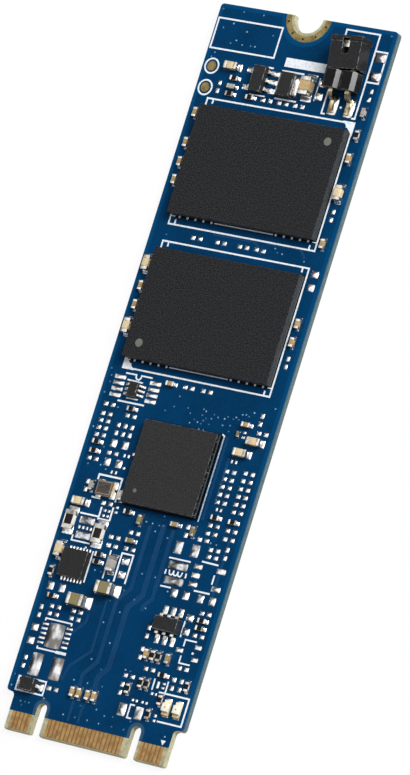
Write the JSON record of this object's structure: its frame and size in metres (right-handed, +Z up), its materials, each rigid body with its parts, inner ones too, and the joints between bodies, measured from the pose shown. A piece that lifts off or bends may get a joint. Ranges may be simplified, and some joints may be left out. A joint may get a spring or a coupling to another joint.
{
  "type": "gumstick solid state drive",
  "caption": "Bare gumstick solid state drive: a narrow circuit board with flash packages, a controller, chip parts, a jumper on pins, edge contacts and a screw notch.",
  "frame": {"origin": "centre of the bounding box's base, under the middle of the board", "axes": "+Y along the board towards the screw notch, the edge connector at -Y, +Z up from the underside to the component side, +X across the board"},
  "size_m": [0.022, 0.08, 0.0036],
  "materials": {
    "laminate": "matt woven glass laminate, pale tan",
    "mask": "dark blue semi-gloss solder mask",
    "gold": "gold plate",
    "pad_gold": "gold plate, worn",
    "silk": "white screen ink",
    "solder": "bright solder",
    "ball_solder": "satin solder",
    "moulding": "fine grained black moulding",
    "substrate": "dark green laminate edge",
    "header_plastic": "black moulded plastic",
    "pin_metal": "pale gold plate",
    "ferrite": "black moulding with bevelled top",
    "terminal": "satin tin",
    "ceramic_gold": "tan ceramic",
    "lid_metal": "dark reflective metal",
    "led_base": "cream laminate",
    "led_lens": "cream resin",
    "ceramic_tan": "tan ceramic",
    "ceramic_olive": "olive ceramic",
    "resist_black": "black glaze",
    "alumina": "white ceramic",
    "bead_grey": "pale grey ceramic",
    "tin": "bright tin"
  },
  "bodies": {
    "root": {"board_laminate": "laminate", "solder_mask_top": "mask", "solder_mask_bottom": "mask", "edge_contacts_top": "gold", "edge_contacts_bottom": "gold", "mounting_pad_top": "pad_gold", "mounting_pad_bottom": "pad_gold", "mounting_pad_vias": "pad_gold", "silkscreen_lines": "silk", "silkscreen_fills": "silk", "test_pads": "pad_gold", "chip_lands": "solder", "wide_lands": "solder", "fine_lands": "solder", "flash_package_upper": "moulding", "flash_package_lower": "moulding", "flash_substrates": "substrate", "flash_solder_balls": "ball_solder", "controller_package": "moulding", "controller_substrate": "substrate", "controller_solder_balls": "ball_solder", "header_housing": "header_plastic", "header_pins": "pin_metal", "jumper_housing": "header_plastic", "jumper_clip": "pin_metal", "inductor_body": "ferrite", "inductor_terminals": "terminal", "oscillator_base": "ceramic_gold", "oscillator_lid": "lid_metal", "regulator_body": "moulding", "regulator_leads": "tin", "driver_bodies": "moulding", "driver_leads": "tin", "gate_body": "moulding", "gate_leads": "tin", "diode_body": "moulding", "diode_leads": "tin", "led_bases": "led_base", "led_lenses": "led_lens", "led_terminals": "terminal", "capacitors_small": "ceramic_tan", "capacitors_small_caps": "tin", "capacitors_middle": "ceramic_tan", "capacitors_middle_caps": "tin", "capacitors_large": "ceramic_olive", "capacitors_large_caps": "tin", "resistors": "resist_black", "resistors_caps": "tin", "shunt_bodies": "alumina", "shunt_coats": "resist_black", "shunt_caps": "tin", "bead_bodies": "bead_grey", "bead_caps": "tin"}
  },
  "joints": []
}
